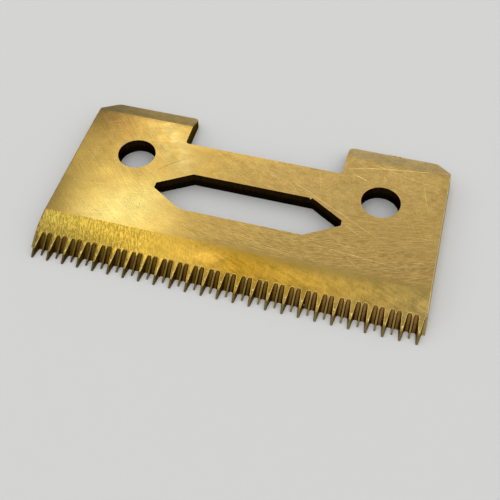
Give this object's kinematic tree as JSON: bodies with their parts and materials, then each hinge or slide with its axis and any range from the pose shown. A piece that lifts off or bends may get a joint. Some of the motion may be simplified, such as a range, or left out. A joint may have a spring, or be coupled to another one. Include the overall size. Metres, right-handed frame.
{
  "type": "hair clipper blade",
  "caption": "Flat gold-coloured hair clipper blade: a comb of alternating long and short teeth on a bevelled front, screw holes, a pointed slot and a notch between bevelled ears.",
  "frame": {"origin": "midway between the two screw holes, on the cutter face, which is the underside", "axes": "+X across the comb, +Y from the tooth tips back to the ears, +Z from the cutter face up to the skin face"},
  "size_m": [0.0466, 0.0261, 0.002],
  "materials": {
    "plated_steel": "gold-coloured plating over a lapped and ground surface"
  },
  "bodies": {
    "root": {"blade": "plated_steel"}
  },
  "joints": []
}
